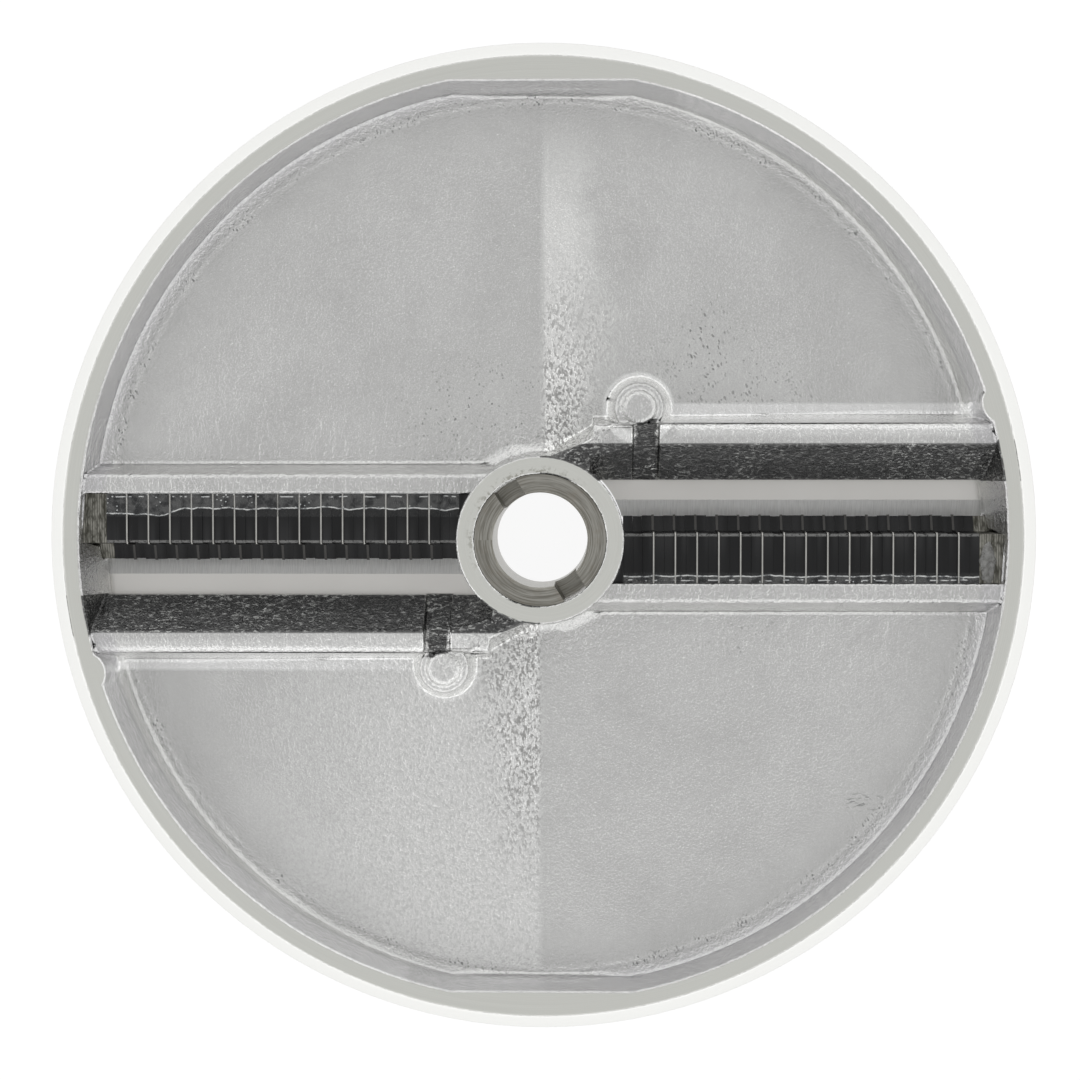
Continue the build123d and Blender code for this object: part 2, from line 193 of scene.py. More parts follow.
class Nodes:
    """Short way to write a node tree: each method adds a node and returns an output."""

    def __init__(self, tree):
        self.tree = tree
        tree.nodes.clear()

    def add(self, kind, inputs=(), out=0, **settings):
        node = self.tree.nodes.new(kind)
        for name, value in settings.items():
            setattr(node, name, value)
        for key, value in dict(inputs).items():
            self.set(node, key, value)
        return node.outputs[out] if out is not None else node

    def set(self, node, key, value):
        if isinstance(value, bpy.types.NodeSocket):
            self.tree.links.new(value, node.inputs[key])
        else:
            node.inputs[key].default_value = value

    def math(self, operation, a, b=0.0):
        return self.add("ShaderNodeMath", {0: a, 1: b}, operation=operation)

    def chain(self, operation, values):
        result = values[0]
        for value in values[1:]:
            result = self.math(operation, result, value)
        return result

    def times(self, *values):
        return self.chain("MULTIPLY", values)

    def plus(self, *values):
        return self.chain("ADD", values)

    def most(self, *values):
        return self.chain("MAXIMUM", values)

    def smooth(self, value, low, high):
        """0 below low, 1 above high, and a soft step between. It falls where low is above high."""
        return self.add("ShaderNodeMapRange", {"Value": value, "From Min": low, "From Max": high},
                        interpolation_type="SMOOTHSTEP")

    def band(self, value, low, high, soft):
        """1 between low and high, with soft ends."""
        return self.times(self.smooth(value, low - soft, low + soft),
                          self.smooth(value, high + soft, high - soft))

    def around_zero(self, value, reach):
        """A noise, moved to lie around zero and widened."""
        return self.times(self.plus(value, -0.5), reach)

    def mix(self, share, a, b):
        return self.add("ShaderNodeMix", {0: share, 6: a, 7: b}, out=2, data_type="RGBA")

    def mix_number(self, share, a, b):
        return self.add("ShaderNodeMix", {0: share, 2: a, 3: b}, out=0, data_type="FLOAT")

    def scaled(self, vector, factors):
        return self.add("ShaderNodeVectorMath", {0: vector, 1: factors}, operation="MULTIPLY")

    def length(self, vector):
        return self.add("ShaderNodeVectorMath", {0: vector}, out=1, operation="LENGTH")

    def vector(self, x=0.0, y=0.0, z=0.0):
        return self.add("ShaderNodeCombineXYZ", {0: x, 1: y, 2: z})

    def noise(self, vector, scale, detail=2.0, roughness=0.5, distortion=0.0):
        return self.add("ShaderNodeTexNoise", {"Vector": vector, "Scale": scale, "Detail": detail,
                                               "Roughness": roughness, "Distortion": distortion})

    def cells(self, vector, scale):
        """Distance from the middle of a flat cell, and a number that each cell draws."""
        node = self.add("ShaderNodeTexVoronoi", {"Vector": vector, "Scale": scale}, out=None,
                        voronoi_dimensions="2D")
        return node.outputs["Distance"], self.add("ShaderNodeSeparateColor", {0: node.outputs["Color"]})

    def bump(self, height, strength, distance, normal=None):
        inputs = {"Height": height, "Strength": strength, "Distance": distance}
        if normal is not None:
            inputs["Normal"] = normal
        return self.add("ShaderNodeBump", inputs)


class Place:
    """Where a point is on the disc, in millimetres. Across and along a slot are the same on both halves."""

    def __init__(self, n):
        metres = n.add("ShaderNodeTexCoord", out=3)
        self.n = n
        self.at = n.scaled(metres, (1 / MM, 1 / MM, 1 / MM))
        split = n.add("ShaderNodeSeparateXYZ", {0: self.at}, out=None)
        self.x, self.y, self.z = split.outputs
        self.radius = n.length(n.scaled(self.at, (1, 1, 0)))
        self.angle = n.math("ARCTAN2", self.y, self.x)
        self.across = n.times(self.y, n.math("SIGN", self.x))
        self.along = n.math("ABSOLUTE", self.x)

    def spot(self, center, reach, soft):
        """1 in a soft oval on the disc, 0 outside it."""
        n = self.n
        beside = n.math("DIVIDE", n.math("SUBTRACT", self.x, center[0]), reach[0])
        above = n.math("DIVIDE", n.math("SUBTRACT", self.y, center[1]), reach[1])
        away = n.math("SQRT", n.plus(n.times(beside, beside), n.times(above, above)))
        return n.smooth(away, 1 + soft, 1 - soft)

    def turned(self):
        """Lines round the axis: fast across the radius and height, slow along the circle."""
        return self.n.vector(self.radius, self.n.times(self.angle, 0.3), self.z)


def new_material(name):
    material = bpy.data.materials.new(name)
    material.use_nodes = True
    return material, Nodes(material.node_tree)


def finish_material(nodes, **inputs):
    shader = nodes.add("ShaderNodeBsdfPrincipled", inputs, out=None)
    output = nodes.add("ShaderNodeOutputMaterial", out=None)
    nodes.tree.links.new(shader.outputs[0], output.inputs[0])


class CastSkin:
    """The casting's skin: masks for its places, and the grains that its bump, colour and roughness share."""

    def __init__(self, n):
        p = Place(n)
        self.n, self.p = n, p
        self.lines = n.noise(p.turned(), 7.0, 2, 0.6)
        self.dimples = n.noise(n.scaled(p.at, (1.0, 0.62, 0.62)), 1.75, 2, 0.55, 0.4)
        self.fine = n.noise(p.at, 2.2, 3, 0.6)
        self.flow = n.noise(n.scaled(p.at, (1.0, 0.35, 1.0)), 0.55, 2, 0.6)
        self.ridges = n.noise(n.vector(n.times(p.angle, 60.0), n.times(p.z, 0.08), 0.0), 1.0, 2, 0.6)
        self.find_machined()
        self.find_ramp_ends()
        self.find_slots()
        self.on_wall = n.times(n.smooth(p.radius, WALL_FOOT_RADIUS - 2, WALL_FOOT_RADIUS),
                               n.smooth(p.z, RIM_TOP - 0.1, RIM_TOP - 0.5))

    def find_machined(self):
        """Turned places: the ring and the bevel of the rim, and the hub's face."""
        n, p = self.n, self.p
        on_top = n.smooth(p.z, RIM_TOP - 0.12, RIM_TOP - 0.04)
        ring = n.times(on_top, n.smooth(p.radius, RING_RADIUS - 3, RING_RADIUS - 2.5))
        self.bevel = n.smooth(p.radius, BEVEL_RADIUS - 0.1, BEVEL_RADIUS + 0.1)
        self.hub_face = n.smooth(p.z, HUB_TOP - 0.1, HUB_TOP - 0.02)
        self.machined = n.most(ring, self.bevel, self.hub_face)

    def find_ramp_ends(self):
        """Where each ramp ends, past its crease: hammered near the hub, and frosted on the lower web."""
        n, p = self.n, self.p
        toward_ramp = n.times(p.x, n.math("SIGN", p.y))
        wander = n.around_zero(n.noise(p.at, 0.12, 2), 16.0)
        from_crease = n.plus(toward_ramp, wander)
        from_axis = n.plus(p.radius, wander)
        past_crease = n.times(n.smooth(toward_ramp, -0.8, 1.3), n.smooth(p.radius, WEB_RADIUS, WEB_RADIUS - 1.5))
        self.lower = n.smooth(p.y, 0, -1)
        self.ramp_end = n.times(n.smooth(from_crease, 18, 3), past_crease)
        self.beaten = n.times(self.ramp_end, n.mix_number(self.lower, n.smooth(from_axis, 68, 26),
                                                          n.smooth(from_axis, 88, 40)))
        self.frosted = n.times(self.lower, n.smooth(from_crease, 78, 20), past_crease, 0.4)

    def find_slots(self):
        """The sloping walls of the slots with the hollow beside the inner boss, and what stands above the web."""
        n, p = self.n, self.p
        from_slope = n.plus(p.across, n.times(p.z, -SLOT_SLOPE))
        walls = n.times(n.smooth(p.across, SLOT_FOOT - 0.1, SLOT_FOOT + 0.1),
                        n.smooth(from_slope, SLOT_EDGE + 0.5, SLOT_EDGE + 0.1), n.smooth(p.z, 1.3, 1.6))
        frayed = n.plus(p.along, n.around_zero(n.noise(p.at, 0.5, 3, 0.65), 3.0))
        relief = n.most(n.times(n.band(p.along, *RELIEF_SIDES, 0.1), n.band(p.across, SLOT_FOOT, SLOT_MOUTH, 0.1)),
                        n.times(n.band(frayed, *RELIEF_PATCH, 0.4), n.band(p.across, SLOT_MOUTH, RELIEF_END, 0.1)))
        # The slot walls and the hollow beside the inner boss, with its ragged patch, get painted shade and glints
        self.in_slot = n.most(walls, n.times(relief, n.smooth(p.z, RIB_TOP - 0.2, RIB_TOP - 0.5)))
        self.off_slot = n.smooth(self.in_slot, 0.6, 0.4)
        self.raised = n.times(n.smooth(p.z, 8.3, 9.5), self.off_slot)

    def normal(self):
        """Almost smooth, with hammered grain, rough ribs, torn skin at the rim's foot and turned lines."""
        n, p = self.n, self.p
        near_hub = n.smooth(p.radius, 34, 20)
        by_rib = n.smooth(n.math("ABSOLUTE", p.y), 34, 16)
        hammered = n.most(self.beaten, self.frosted, n.times(near_hub, 0.5), n.times(self.raised, 0.5))
        wall_foot = n.times(n.band(p.radius, WALL_FOOT_RADIUS - 1.6, WALL_FOOT_RADIUS + 1.2, 0.7),
                            n.smooth(p.z, 12, 10))
        height = n.plus(n.times(self.dimples, hammered, 1.6),
                        n.times(self.fine, n.mix_number(hammered, 0.9, 0.6)),
                        n.times(self.flow, n.mix_number(by_rib, 0.6, 1.6)),
                        n.times(n.noise(p.at, 0.8, 3, 0.65), wall_foot, 1.3),
                        n.times(self.ridges, self.on_wall, 0.5))
        skin = n.bump(height, n.mix_number(self.machined, 0.75, 0.0), 0.35 * MM)
        return n.bump(self.lines, n.mix_number(self.machined, 0.0, 0.25), 0.05 * MM, skin)

    def dots(self, slant, factors, scale, least, largest):
        """Dots of uneven size, in the cells that draw more than the least number."""
        n = self.n
        distance, chance = n.cells(n.scaled(slant, factors), scale)
        size = n.mix_number(n.smooth(chance, least, 1.0), 0.05, largest)
        inside = n.smooth(n.math("SUBTRACT", distance, size), 0.04, -0.12)
        return n.times(inside, n.smooth(chance, least, least + 0.05))

    def pores(self):
        """Small dark pores, along the foot of the rim's wall and in patches."""
        n, p = self.n, self.p
        drift = n.add("ShaderNodeTexNoise", {"Vector": p.at, "Scale": 0.45, "Detail": 2.0}, out=1)
        bent = n.add("ShaderNodeVectorMath", {0: p.at, 1: n.scaled(drift, (1.2, 1.2, 0))}, operation="ADD")
        slant = n.add("ShaderNodeVectorRotate", {"Vector": bent, "Angle": PORE_SLANT}, rotation_type="Z_AXIS")
        ticks = self.dots(slant, (1.6, 0.75, 0.0), 0.95, 0.6, 0.36)
        specks = self.dots(slant, (1.0, 0.8, 0.0), 1.35, 0.5, 0.3)
        clumps = n.smooth(n.noise(p.at, 0.22, 2), 0.35, 0.6)
        patchy = n.smooth(n.noise(p.at, 0.09, 2), 0.4, 0.55)
        along_rim = n.times(n.band(p.radius, WALL_FOOT_RADIUS - 2.2, WALL_FOOT_RADIUS - 0.2, 0.5), patchy)
        by_crease = n.times(p.spot(*CREASE_SPECKS), n.smooth(p.x, 0.5, -0.5))
        in_ticks = n.most(along_rim, *[n.times(p.spot(*spot), strength) for *spot, strength in TICK_PATCHES])
        in_specks = n.most(along_rim, by_crease,
                           *[n.times(p.spot(*spot), strength) for *spot, strength in SPECK_PATCHES])
        return n.times(n.most(n.times(ticks, in_ticks), n.times(specks, in_specks)), clumps, n.smooth(p.z, 11, 10))

    def scuffs(self):
        """A short scuff by the comb's rib, and a plain scrape near the rim."""
        n, p = self.n, self.p
        from_line = n.plus(n.times(p.x, SCUFF_ACROSS[0]), n.times(p.y, SCUFF_ACROSS[1]), SCUFF_ACROSS[2])
        scuff = n.times(n.band(from_line, -0.35, 0.35, 0.3), p.spot(*SCUFF), n.smooth(self.fine, 0.4, 0.55))
        streaks = n.noise(n.scaled(p.at, (0.5, 1.6, 0.0)), 1.0, 2, 0.6, 1.0)
        scrape = n.times(n.smooth(streaks, 0.55, 0.63), p.spot(*SCRAPE), 0.7)
        return n.most(scuff, scrape)

    def slot_shade_and_glints(self):
        """Painted shade on the slot's walls and the hollow beside the inner boss, with a few painted glints."""
        n, p = self.n, self.p
        # Painted glints: a few bright grains
        grains = n.times(n.smooth(n.noise(n.scaled(p.at, (0.5, 1.0, 1.0)), 1.7, 3, 0.7, 0.8), 0.52, 0.62),
                         n.mix_number(n.smooth(n.noise(p.at, 0.08, 1), 0.4, 0.6), 0.45, 1.0),
                         n.mix_number(n.smooth(p.z, 7, 5), 0.45, 1.0))
        return n.mix(grains, SLOT_SHADE, SLOT_GLINT)

    def cast_tone(self):
        """Cast skin: cloudy, with dark pores and scuffs, painted highlights past the creases, on the ribs and round
        the bosses' feet, and painted shade in the hammered dimples, on the rim's wall and in the slots, with
        painted glints there.
        """
        n, p = self.n, self.p
        tone = n.mix(n.smooth(n.noise(p.at, 0.045, 3, 0.6), 0.3, 0.7), CAST_DARK, CAST_LIGHT)
        marks = n.times(n.most(self.pores(), self.scuffs()), n.smooth(self.machined, 0.6, 0.4))
        # Painted highlight: the upper web is lighter past each crease, where its tilt would catch side light
        crease_sheen = n.times(self.ramp_end, n.smooth(self.lower, 1, 0), n.smooth(p.radius, 95, 60))
        # Painted highlight, near white, on the flanks of the ribs
        flank_highlight = n.times(n.band(p.across, *RIB_FLANK, 0.4), n.smooth(p.along, 25, 29),
                        n.smooth(p.z, RIB_TOP - 0.05, RIB_TOP - 0.3))
        # Painted highlight: the blades' ribs are lighter
        blade_rib_highlight = n.times(self.raised, n.smooth(p.across, 20.5, 22), n.smooth(p.along, 27, 29))
        from_boss = n.length(n.vector(n.plus(p.along, -INNER_BOSS[0]), n.plus(p.across, -INNER_BOSS[1])))
        # Painted highlight on the fillet round each inner boss's foot
        boss_foot_highlight = n.times(n.band(from_boss, *BOSS_FOOT, 0.3), self.off_slot, n.smooth(p.z, 5, 6))
        # Painted shade: darker where the hammered dimples dip
        hollow_shade = n.times(n.most(self.beaten, n.times(self.frosted, 0.5)), n.smooth(self.dimples, 0.56, 0.38))
        # Painted shade on the rim's inner wall, streaked along its ridges
        wall = n.times(self.on_wall, n.smooth(p.z, 7.5, 9), n.mix_number(self.ridges, 0.2, 0.9))
        for share, layer in (
            (n.times(marks, 0.75), PORE_TONE),
            (n.times(self.fine, 0.12), FINE_TONE),
            (n.times(crease_sheen, 0.85), CREASE_SHEEN_TONE),
            # Painted highlight on the lower web past each crease
            (n.times(self.frosted, 1.7), FROST_SHEEN_TONE),
            (n.times(flank_highlight, n.mix_number(self.flow, 0.6, 1.0)), FLANK_HIGHLIGHT_TONE),
            (n.times(blade_rib_highlight, 0.7), BLADE_RIB_HIGHLIGHT_TONE),
            (n.times(boss_foot_highlight, n.mix_number(self.flow, 0.7, 1.0)), BOSS_FOOT_HIGHLIGHT_TONE),
            (n.times(hollow_shade, 0.9), HOLLOW_SHADE_TONE),
            (wall, WALL_SHADE_TONE),
            (self.in_slot, self.slot_shade_and_glints()),
        ):
            tone = n.mix(share, tone, layer)
        return tone

    def turned_tone(self):
        """Turned ring and hub face, with a painted highlight on the bevel and painted shade on the side of the rim.
        """
        n, p = self.n, self.p
        tone = n.mix(self.lines, TURNED_DARK, TURNED_LIGHT)
        # Painted highlight: the bevel is lighter than the ring
        tone = n.mix(n.times(self.bevel, 0.7), tone, BEVEL_HIGHLIGHT_TONE)
        # Painted shade: the rim's outer side is darker
        rim_side_shade = n.times(self.bevel, n.smooth(p.z, BEVEL_FOOT + 0.1, BEVEL_FOOT - 0.2))
        return n.mix(rim_side_shade, tone, n.mix(self.lines, RIM_SIDE_SHADE_DARK, RIM_SIDE_SHADE_LIGHT))

    def dirt(self):
        """Dirt round the joint between the hub and its bush, most of it on the upper left."""
        n, p = self.n, self.p
        joint = n.band(p.radius, BUSH_RADIUS, BUSH_RADIUS + 0.14, 0.05)
        upper_left = n.plus(n.times(p.x, -0.6), n.times(p.y, 0.8))
        grime = n.times(n.smooth(p.radius, BUSH_RADIUS + 2.2, BUSH_RADIUS),
                        n.smooth(n.noise(p.at, 0.9, 3, 0.65), 0.5, 0.62), n.smooth(upper_left, -2, 12))
        return n.times(self.hub_face, n.most(joint, n.times(grime, 0.6)))


def cast_aluminium():
    """Bright die-cast skin with grain and pores, machined on the rim's ring and the hub's face."""
    material, n = new_material("cast_aluminium")
    skin = CastSkin(n)
    color = n.mix(skin.machined, skin.cast_tone(), skin.turned_tone())
    color = n.mix(skin.dirt(), color, DIRT_TONE)
    roughness = n.mix_number(skin.machined, n.mix_number(skin.fine, 0.20, 0.30), 0.42)
    finish_material(n, **{"Base Color": color, "Metallic": 1.0, "Roughness": roughness, "Normal": skin.normal()})
    return material


def turned_steel(name, dark, light, roughness):
    """Steel with fine lines round the axis."""
    material, n = new_material(name)
    p = Place(n)
    lines = n.noise(p.turned(), 5.0, 3, 0.65)
    stain = n.noise(p.at, 0.35, 3, 0.6)
    tone = n.mix(n.smooth(lines, 0.35, 0.65), dark, light)
    tone = n.mix(n.times(n.smooth(stain, 0.5, 0.7), 0.22), tone, rgb(0.30, 0.25, 0.19))
    normal = n.bump(lines, 0.35, 0.06 * MM)
    finish_material(n, **{"Base Color": tone, "Metallic": 1.0, "Roughness": roughness, "Normal": normal})
    return material


def blade_ground_steel():
    """Slicing blade: smooth flat, and a duller bevel with fine lines across its edge."""
    material, n = new_material("blade_steel")
    p = Place(n)
    bevel = n.smooth(p.across, BLADE_BEVEL_END + 0.06, BLADE_BEVEL_END - 0.06)
    lines = n.noise(n.scaled(p.at, (2.4, 0.1, 0.1)), 3.0, 3, 0.6)
    cloud = n.noise(p.at, 0.06, 2)
    flat_tone = n.mix(cloud, rgb(0.74, 0.725, 0.695), rgb(0.85, 0.835, 0.805))
    bevel_tone = n.mix(n.smooth(lines, 0.3, 0.7), rgb(0.88, 0.88, 0.87), rgb(0.99, 0.99, 0.98))
    normal = n.bump(lines, n.mix_number(bevel, 0.06, 0.3), 0.05 * MM)
    finish_material(n, **{"Base Color": n.mix(bevel, flat_tone, bevel_tone), "Metallic": 1.0,
                          "Roughness": n.mix_number(bevel, 0.3, 0.8), "Normal": normal})
    return material


def comb_blade_steel():
    """Thin comb blades: a bright stripe along each top edge, uneven with wear, with painted shade on its sides and
    below the front edge.
    """
    material, n = new_material("comb_steel")
    p = Place(n)
    through = n.math("MODULO", n.plus(p.along, -COMB_FIRST), COMB_PITCH)
    wear_and_sheen = n.noise(n.scaled(p.at, (0.2, 0.4, 0.4)), 1.0, 2, 0.6)
    # Only the middle of each top edge is bright; its sides and all below the front edge get painted shade
    bright = n.times(n.band(through, *COMB_EDGE, 0.05), n.smooth(p.z, 10, 12), n.mix_number(wear_and_sheen, 0.6, 1.0))
    tone = n.mix(bright, rgb(0.085, 0.083, 0.08), rgb(0.80, 0.79, 0.75))
    normal = n.bump(n.noise(p.at, 3.0, 3, 0.6), 0.2, 0.05 * MM)
    finish_material(n, **{"Base Color": tone, "Metallic": 1.0, "Roughness": n.mix_number(wear_and_sheen, 0.28, 0.45),
                          "Normal": normal})
    return material


def shim_stack_steel():
    """Stack of dark thin shims with a lighter line along the top of each."""
    material, n = new_material("shim_steel")
    p = Place(n)
    stain = n.noise(n.scaled(p.at, (1.0, 0.35, 0.35)), 1.2, 3, 0.6)
    through = n.math("FRACT", n.math("DIVIDE", n.plus(p.along, -SHIM_START), SHIM_THICKNESS))
    line = n.times(n.band(through, 0.38, 0.62, 0.15), n.smooth(stain, 0.4, 0.6))
    tone = n.mix(n.smooth(stain, 0.3, 0.7), rgb(0.075, 0.073, 0.06), rgb(0.27, 0.265, 0.235))
    tone = n.mix(n.times(line, 0.7), tone, rgb(0.5, 0.49, 0.44))
    normal = n.bump(stain, 0.3, 0.1 * MM)
    finish_material(n, **{"Base Color": tone, "Metallic": 1.0, "Roughness": n.mix_number(stain, 0.35, 0.5),
                          "Normal": normal})
    return material


def screw_steel():
    """Bright plated screws with a fine grain."""
    material, n = new_material("screw_steel")
    p = Place(n)
    grain = n.noise(p.at, 3.0, 3, 0.6)
    tone = n.mix(grain, rgb(0.50, 0.50, 0.49), rgb(0.72, 0.72, 0.70))
    finish_material(n, **{"Base Color": tone, "Metallic": 1.0, "Roughness": n.mix_number(grain, 0.25, 0.4),
                          "Normal": n.bump(grain, 0.15, 0.05 * MM)})
    return material


def black_plastic():
    """Black spacers: each a little different, greyer to the front, with a painted highlight along the front edge.
    """
    material, n = new_material("black_plastic")
    p = Place(n)
    grain = n.noise(p.at, 2.0, 3, 0.6)
    piece = n.noise(n.scaled(p.at, (0.5, 0.02, 0.02)), 1.0, 0)
    tone = n.mix(piece, rgb(0.003, 0.003, 0.0035), rgb(0.016, 0.0165, 0.017))
    greyer = n.times(n.smooth(p.across, -5, 0), n.smooth(piece, 0.35, 0.65), 0.5)
    tone = n.mix(greyer, tone, rgb(0.032, 0.032, 0.033))
    # Painted highlight along the spacers' front edge, broken up by the grain
    wear_and_sheen = n.times(n.band(p.across, 0.45, 1.0, 0.12), n.smooth(p.z, 11.9, 12.2), n.smooth(grain, 0.3, 0.5))
    tone = n.mix(n.times(wear_and_sheen, 0.75), tone, rgb(0.24, 0.24, 0.235))
    normal = n.bump(grain, 0.25, 0.08 * MM)
    finish_material(n, **{"Base Color": tone, "Roughness": n.mix_number(grain, 0.3, 0.5), "Normal": normal,
                          "Specular IOR Level": 0.3})
    return material


def clear_resin():
    """Thin clear film of resin, with painted glints along its ragged edge, in strands and in specks. It reaches
    further on the left.
    """
    material, n = new_material("clear_resin")
    p = Place(n)
    from_wall = n.plus(p.across, -COMB_WALL)
    wander = n.around_zero(n.noise(n.vector(n.times(p.x, 0.12), 0.0, 0.0), 1.0, 3, 0.6), 2.6)
    left = n.smooth(p.x, 1, -1)
    reach = n.plus(n.mix_number(left, 1.5, 3.1), n.times(wander, n.mix_number(left, 0.7, 1.0)),
                   n.times(n.smooth(p.x, -74, -79), 1.2))
    edge = n.math("SUBTRACT", from_wall, reach)
    broken = n.smooth(n.noise(p.at, 0.5, 3, 0.65), 0.38, 0.55)
    # Painted glints: a broken light line along the ragged edge, strands near the wall and specks in the film
    line = n.times(n.band(edge, -0.12, 0.12, 0.1), n.mix_number(broken, 0.25, 1.0))
    strand_glint = n.times(n.band(n.plus(from_wall, n.times(wander, 0.35)), 0.55, 0.75, 0.1),
                     n.smooth(n.noise(n.vector(p.x, 3.0, 0.0), 0.35, 2), 0.5, 0.56))
    distance, chance = n.cells(p.at, 1.1)
    specks = n.times(n.smooth(distance, 0.2, 0.08), n.smooth(chance, 0.72, 0.8), n.smooth(edge, 0.2, -0.2),
                     n.smooth(n.noise(p.at, 0.15, 1), 0.45, 0.6))
    veil = n.times(n.smooth(edge, 0.3, -0.3), n.mix_number(broken, 0.01, 0.045))
    seen = n.most(n.times(line, 0.6), n.times(strand_glint, 0.6), n.times(specks, 0.7), n.plus(veil, 0.01))
    # Light grey of the painted glints
    tone = n.mix(broken, rgb(0.55, 0.57, 0.58), rgb(0.80, 0.81, 0.80))
    normal = n.bump(n.noise(p.at, 0.9, 2), 0.4, 0.25 * MM)
    finish_material(n, **{"Base Color": tone, "Roughness": 0.12, "Alpha": seen, "Normal": normal})
    return material


def cloudy_glue():
    """Cloudy grey glue with an uneven surface."""
    material, n = new_material("cloudy_glue")
    p = Place(n)
    cloud = n.noise(p.at, 0.7, 3, 0.65)
    tone = n.mix(cloud, rgb(0.16, 0.16, 0.155), rgb(0.36, 0.36, 0.35))
    seen = n.mix_number(n.smooth(cloud, 0.3, 0.7), 0.5, 0.85)
    normal = n.bump(n.noise(p.at, 1.6, 2), 0.4, 0.15 * MM)
    finish_material(n, **{"Base Color": tone, "Roughness": n.mix_number(cloud, 0.25, 0.45), "Alpha": seen,
                          "Normal": normal})
    return material


def set_material(name, material):
    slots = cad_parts[name].data.materials
    slots.clear()
    slots.append(material)


def smooth_group():
    """Geometry nodes that keep the piece on the floor and shade every face and edge smooth."""
    group = bpy.data.node_groups.new("all_smooth", "GeometryNodeTree")
    group.interface.new_socket("Geometry", in_out="INPUT", socket_type="NodeSocketGeometry")
    group.interface.new_socket("Geometry", in_out="OUTPUT", socket_type="NodeSocketGeometry")
    start = group.nodes.new("NodeGroupInput")
    faces = group.nodes.new("GeometryNodeSetShadeSmooth")
    edges = group.nodes.new("GeometryNodeSetShadeSmooth")
    edges.domain = "EDGE"
    place = group.nodes.new("GeometryNodeInputPosition")
    limit = group.nodes.new("ShaderNodeVectorMath")
    limit.operation = "MAXIMUM"
    limit.inputs[1].default_value = (-1, -1, 0)
    move = group.nodes.new("GeometryNodeSetPosition")
    end = group.nodes.new("NodeGroupOutput")
    group.links.new(place.outputs[0], limit.inputs[0])
    group.links.new(limit.outputs[0], move.inputs["Position"])
    group.links.new(start.outputs[0], move.inputs["Geometry"])
    group.links.new(move.outputs[0], faces.inputs[0])
    group.links.new(faces.outputs[0], edges.inputs[0])
    group.links.new(edges.outputs[0], end.inputs[0])
    return group


def soften(name, width, angle):
    """Round the edges of a piece that the CAD model has sharp."""
    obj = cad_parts[name]
    weld = obj.modifiers.new("weld", "WELD")
    weld.merge_threshold = 2e-6
    flat = obj.modifiers.new("flat", "DECIMATE")
    flat.decimate_type = "DISSOLVE"
    flat.angle_limit = math.radians(0.6)
    bevel = obj.modifiers.new("bevel", "BEVEL")
    bevel.width = width
    bevel.segments = 2
    bevel.limit_method = "ANGLE"
    bevel.angle_limit = math.radians(angle)
    bevel.use_clamp_overlap = False
    smooth = obj.modifiers.new("smooth", "NODES")
    smooth.node_group = smooth_group()
    normals = obj.modifiers.new("normals", "WEIGHTED_NORMAL")
    normals.keep_sharp = False


def make_studio():
    world = bpy.data.worlds.new("studio")
    bpy.context.scene.world = world
    world.use_nodes = True
    n = Nodes(world.node_tree)
    direction = n.add("ShaderNodeTexCoord", out=0)
    x, y, height = n.add("ShaderNodeSeparateXYZ", {0: direction}, out=None).outputs
    level = STUDIO[0][1]
    for (low, _), (high, after) in zip(STUDIO, STUDIO[1:]):
        level = n.mix_number(n.smooth(height, low, high), level, after)
    level = n.times(level, n.plus(n.times(y, STUDIO_TILT), 1.0))
    # Two strips that are a little brighter, left and right of the camera
    off_axis = n.math("ABSOLUTE", n.plus(x, -OVERHEAD_MIDDLE))
    strips = n.times(n.smooth(off_axis, 0.03, 0.13), n.smooth(height, 0.9, 0.96))
    level = n.plus(level, n.times(strips, OVERHEAD))
    background = n.add("ShaderNodeBackground", {"Color": rgb(1, 1, 1), "Strength": level})
    output = n.add("ShaderNodeOutputWorld", out=None)
    world.node_tree.links.new(background, output.inputs[0])


def make_floor():
    """White floor with soft shadows. It can be seen through from below, where the disc's working face is."""
    mesh = bpy.data.meshes.new("floor")
    corners = [(x * FLOOR_SIZE, y * FLOOR_SIZE, -FLOOR_DROP) for x, y in ((-1, -1), (1, -1), (1, 1), (-1, 1))]
    mesh.from_pydata(corners, [], [(0, 1, 2, 3)])
    floor = link(bpy.data.objects.new("floor", mesh))
    material, n = new_material("floor_white")
    path = n.add("ShaderNodeLightPath", out=None)
    seen = n.most(path.outputs["Is Camera Ray"], path.outputs["Is Glossy Ray"], path.outputs["Is Transmission Ray"])
    from_above = n.math("SUBTRACT", 1.0, n.add("ShaderNodeNewGeometry", out="Backfacing"))
    finish_material(n, **{"Base Color": rgb(0.14, 0.14, 0.14), "Roughness": 1.0, "Specular IOR Level": 0.0,
                          "Emission Color": rgb(1, 1, 1), "Emission Strength": n.times(seen, FLOOR_LEVEL),
                          "Alpha": from_above})
    mesh.materials.append(material)


def ease(share):
    return share * share * (3 - 2 * share)


def add_piece(name, verts, faces, material, slot, turn):
    """A new piece of the object, given in millimetres on the right half and turned to its own half."""
    mesh = bpy.data.meshes.new(name)
    place = Matrix.Rotation(math.radians(turn), 4, "Z")
    mesh.from_pydata([place @ (Vector(v) * MM) for v in verts], [], faces)
    mesh.polygons.foreach_set("use_smooth", [True] * len(mesh.polygons))
    mesh.materials.append(material)
    mesh.update()
    piece = link(bpy.data.objects.new(name, mesh))
    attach(piece, "root")


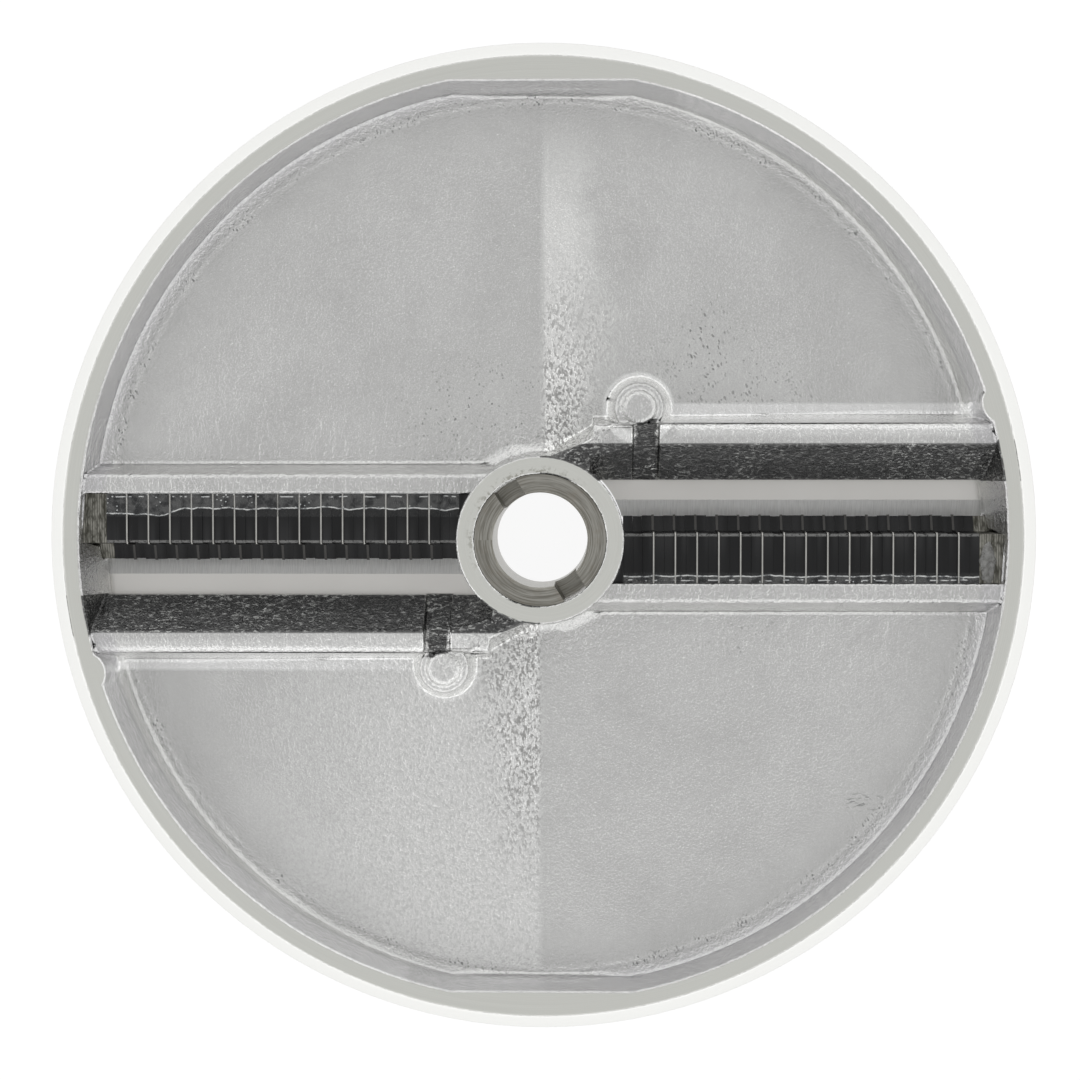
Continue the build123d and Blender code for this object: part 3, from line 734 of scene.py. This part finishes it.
def closed_grid(tops, bottom):
    """A closed block: a grid of top points, walls round it and a flat bottom under it."""
    rows, columns = len(tops), len(tops[0])
    verts = [point for row in tops for point in row]
    verts += [(x, y, bottom) for x, y, z in verts]
    low = rows * columns
    faces = []
    for r in range(rows - 1):
        for c in range(columns - 1):
            a, b = r * columns + c, r * columns + c + 1
            faces += [(a, b, b + columns, a + columns), (low + a + columns, low + b + columns, low + b, low + a)]
    rim = list(range(columns)) + [r * columns + columns - 1 for r in range(1, rows)]
    rim += [(rows - 1) * columns + c for c in range(columns - 2, -1, -1)]
    rim += [r * columns for r in range(rows - 2, 0, -1)]
    for a, b in zip(rim, rim[1:] + rim[:1]):
        faces.append((a, low + a, low + b, b))
    return verts, faces


def potting_block():
    """Resin that fills the corner between the hub and the first spacer, risen at its two sides."""
    rows, columns = POTTING_GRID
    tops = []
    for r in range(rows):
        y = POTTING_START + (POTTING_END - POTTING_START) * r / (rows - 1)
        inner = math.sqrt((HUB_RADIUS - 0.02) ** 2 - y * y)
        row = []
        for c in range(columns):
            share = c / (columns - 1)
            climb = POTTING_AT_HUB * (1 - share) ** 3 + POTTING_AT_SPACER * share ** 4
            climb += POTTING_WAVE * math.sin(2.1 * r)
            row.append((inner + (POTTING_SIDE - inner) * share, y, COMB_FACE + climb))
        tops.append(row)
    return closed_grid(tops, POTTING_FOOT)


def glue_drop():
    """Flat drop of glue on the shims, thick in the middle and uneven at its edge."""
    rows, columns = GLUE_GRID
    tops = []
    for r in range(rows):
        v = 2 * r / (rows - 1) - 1
        row = []
        for c in range(columns):
            u = 2 * c / (columns - 1) - 1
            wide = 1 + 0.10 * math.sin(5 * v + 1) + 0.06 * math.sin(11 * v)
            x = u * math.sqrt(1 - 0.5 * v * v) * wide
            y = v * math.sqrt(1 - 0.5 * u * u) * (1 + 0.05 * math.sin(4 * u))
            rise = GLUE_EDGE + GLUE_RISE * ease(1 - min(1.0, max(abs(u), abs(v)) ** 3))
            row.append((GLUE_PLACE[0] + GLUE_REACH[0] * x, GLUE_PLACE[1] + GLUE_REACH[1] * y, GLUE_FOOT + rise))
        tops.append(row)
    return closed_grid(tops, GLUE_FOOT)


def screw_pad():
    """Closed round pad that covers the outer screw's tip, where the solids leave it bare."""
    verts = []
    for radius, height in PAD_PROFILE:
        for step in range(PAD_SIDES):
            angle = 2 * math.pi * step / PAD_SIDES
            x, y = radius * math.cos(angle), radius * math.sin(angle)
            verts.append((OUTER_SCREW[0] + x, OUTER_SCREW[1] + y, height))
    faces = []
    for ring in range(len(PAD_PROFILE) - 1):
        for step in range(PAD_SIDES):
            a, b = ring * PAD_SIDES + step, ring * PAD_SIDES + (step + 1) % PAD_SIDES
            faces.append((a, b, b + PAD_SIDES, a + PAD_SIDES))
    faces.append(tuple(reversed(range(PAD_SIDES))))
    faces.append(tuple(range(len(verts) - PAD_SIDES, len(verts))))
    return verts, faces


make_camera()
make_studio()
make_floor()

aluminium = cast_aluminium()
bush_steel = turned_steel("bush_steel", rgb(0.24, 0.23, 0.20), rgb(0.46, 0.45, 0.41), 0.3)
blade_steel = blade_ground_steel()
comb_steel = comb_blade_steel()
shim_steel = shim_stack_steel()
plastic = black_plastic()
resin = clear_resin()

set_material("disc_body", aluminium)
soften("disc_body", EDGE_ROUNDING, EDGE_ANGLE)
set_material("hub_bush", bush_steel)
set_material("blade_screws", screw_steel())
for side in (1, 2):
    set_material(f"main_blade_{side}", blade_steel)
    set_material(f"comb_{side}_spacers", plastic)
    set_material(f"comb_{side}_shims", shim_steel)
    set_material(f"comb_{side}_resin", resin)
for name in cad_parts:
    if "_blade_" in name and name.startswith("comb"):
        set_material(name, comb_steel)

for side, turn in ((1, 0), (2, 180)):
    add_piece(f"comb_{side}_potting", *potting_block(), plastic, "spacer_plastic", turn)
    add_piece(f"screw_pad_{side}", *screw_pad(), aluminium, "cast_aluminium", turn)
add_piece("comb_1_glue", *glue_drop(), cloudy_glue(), "resin", 0)

bpy.context.scene.view_settings.view_transform = "Standard"
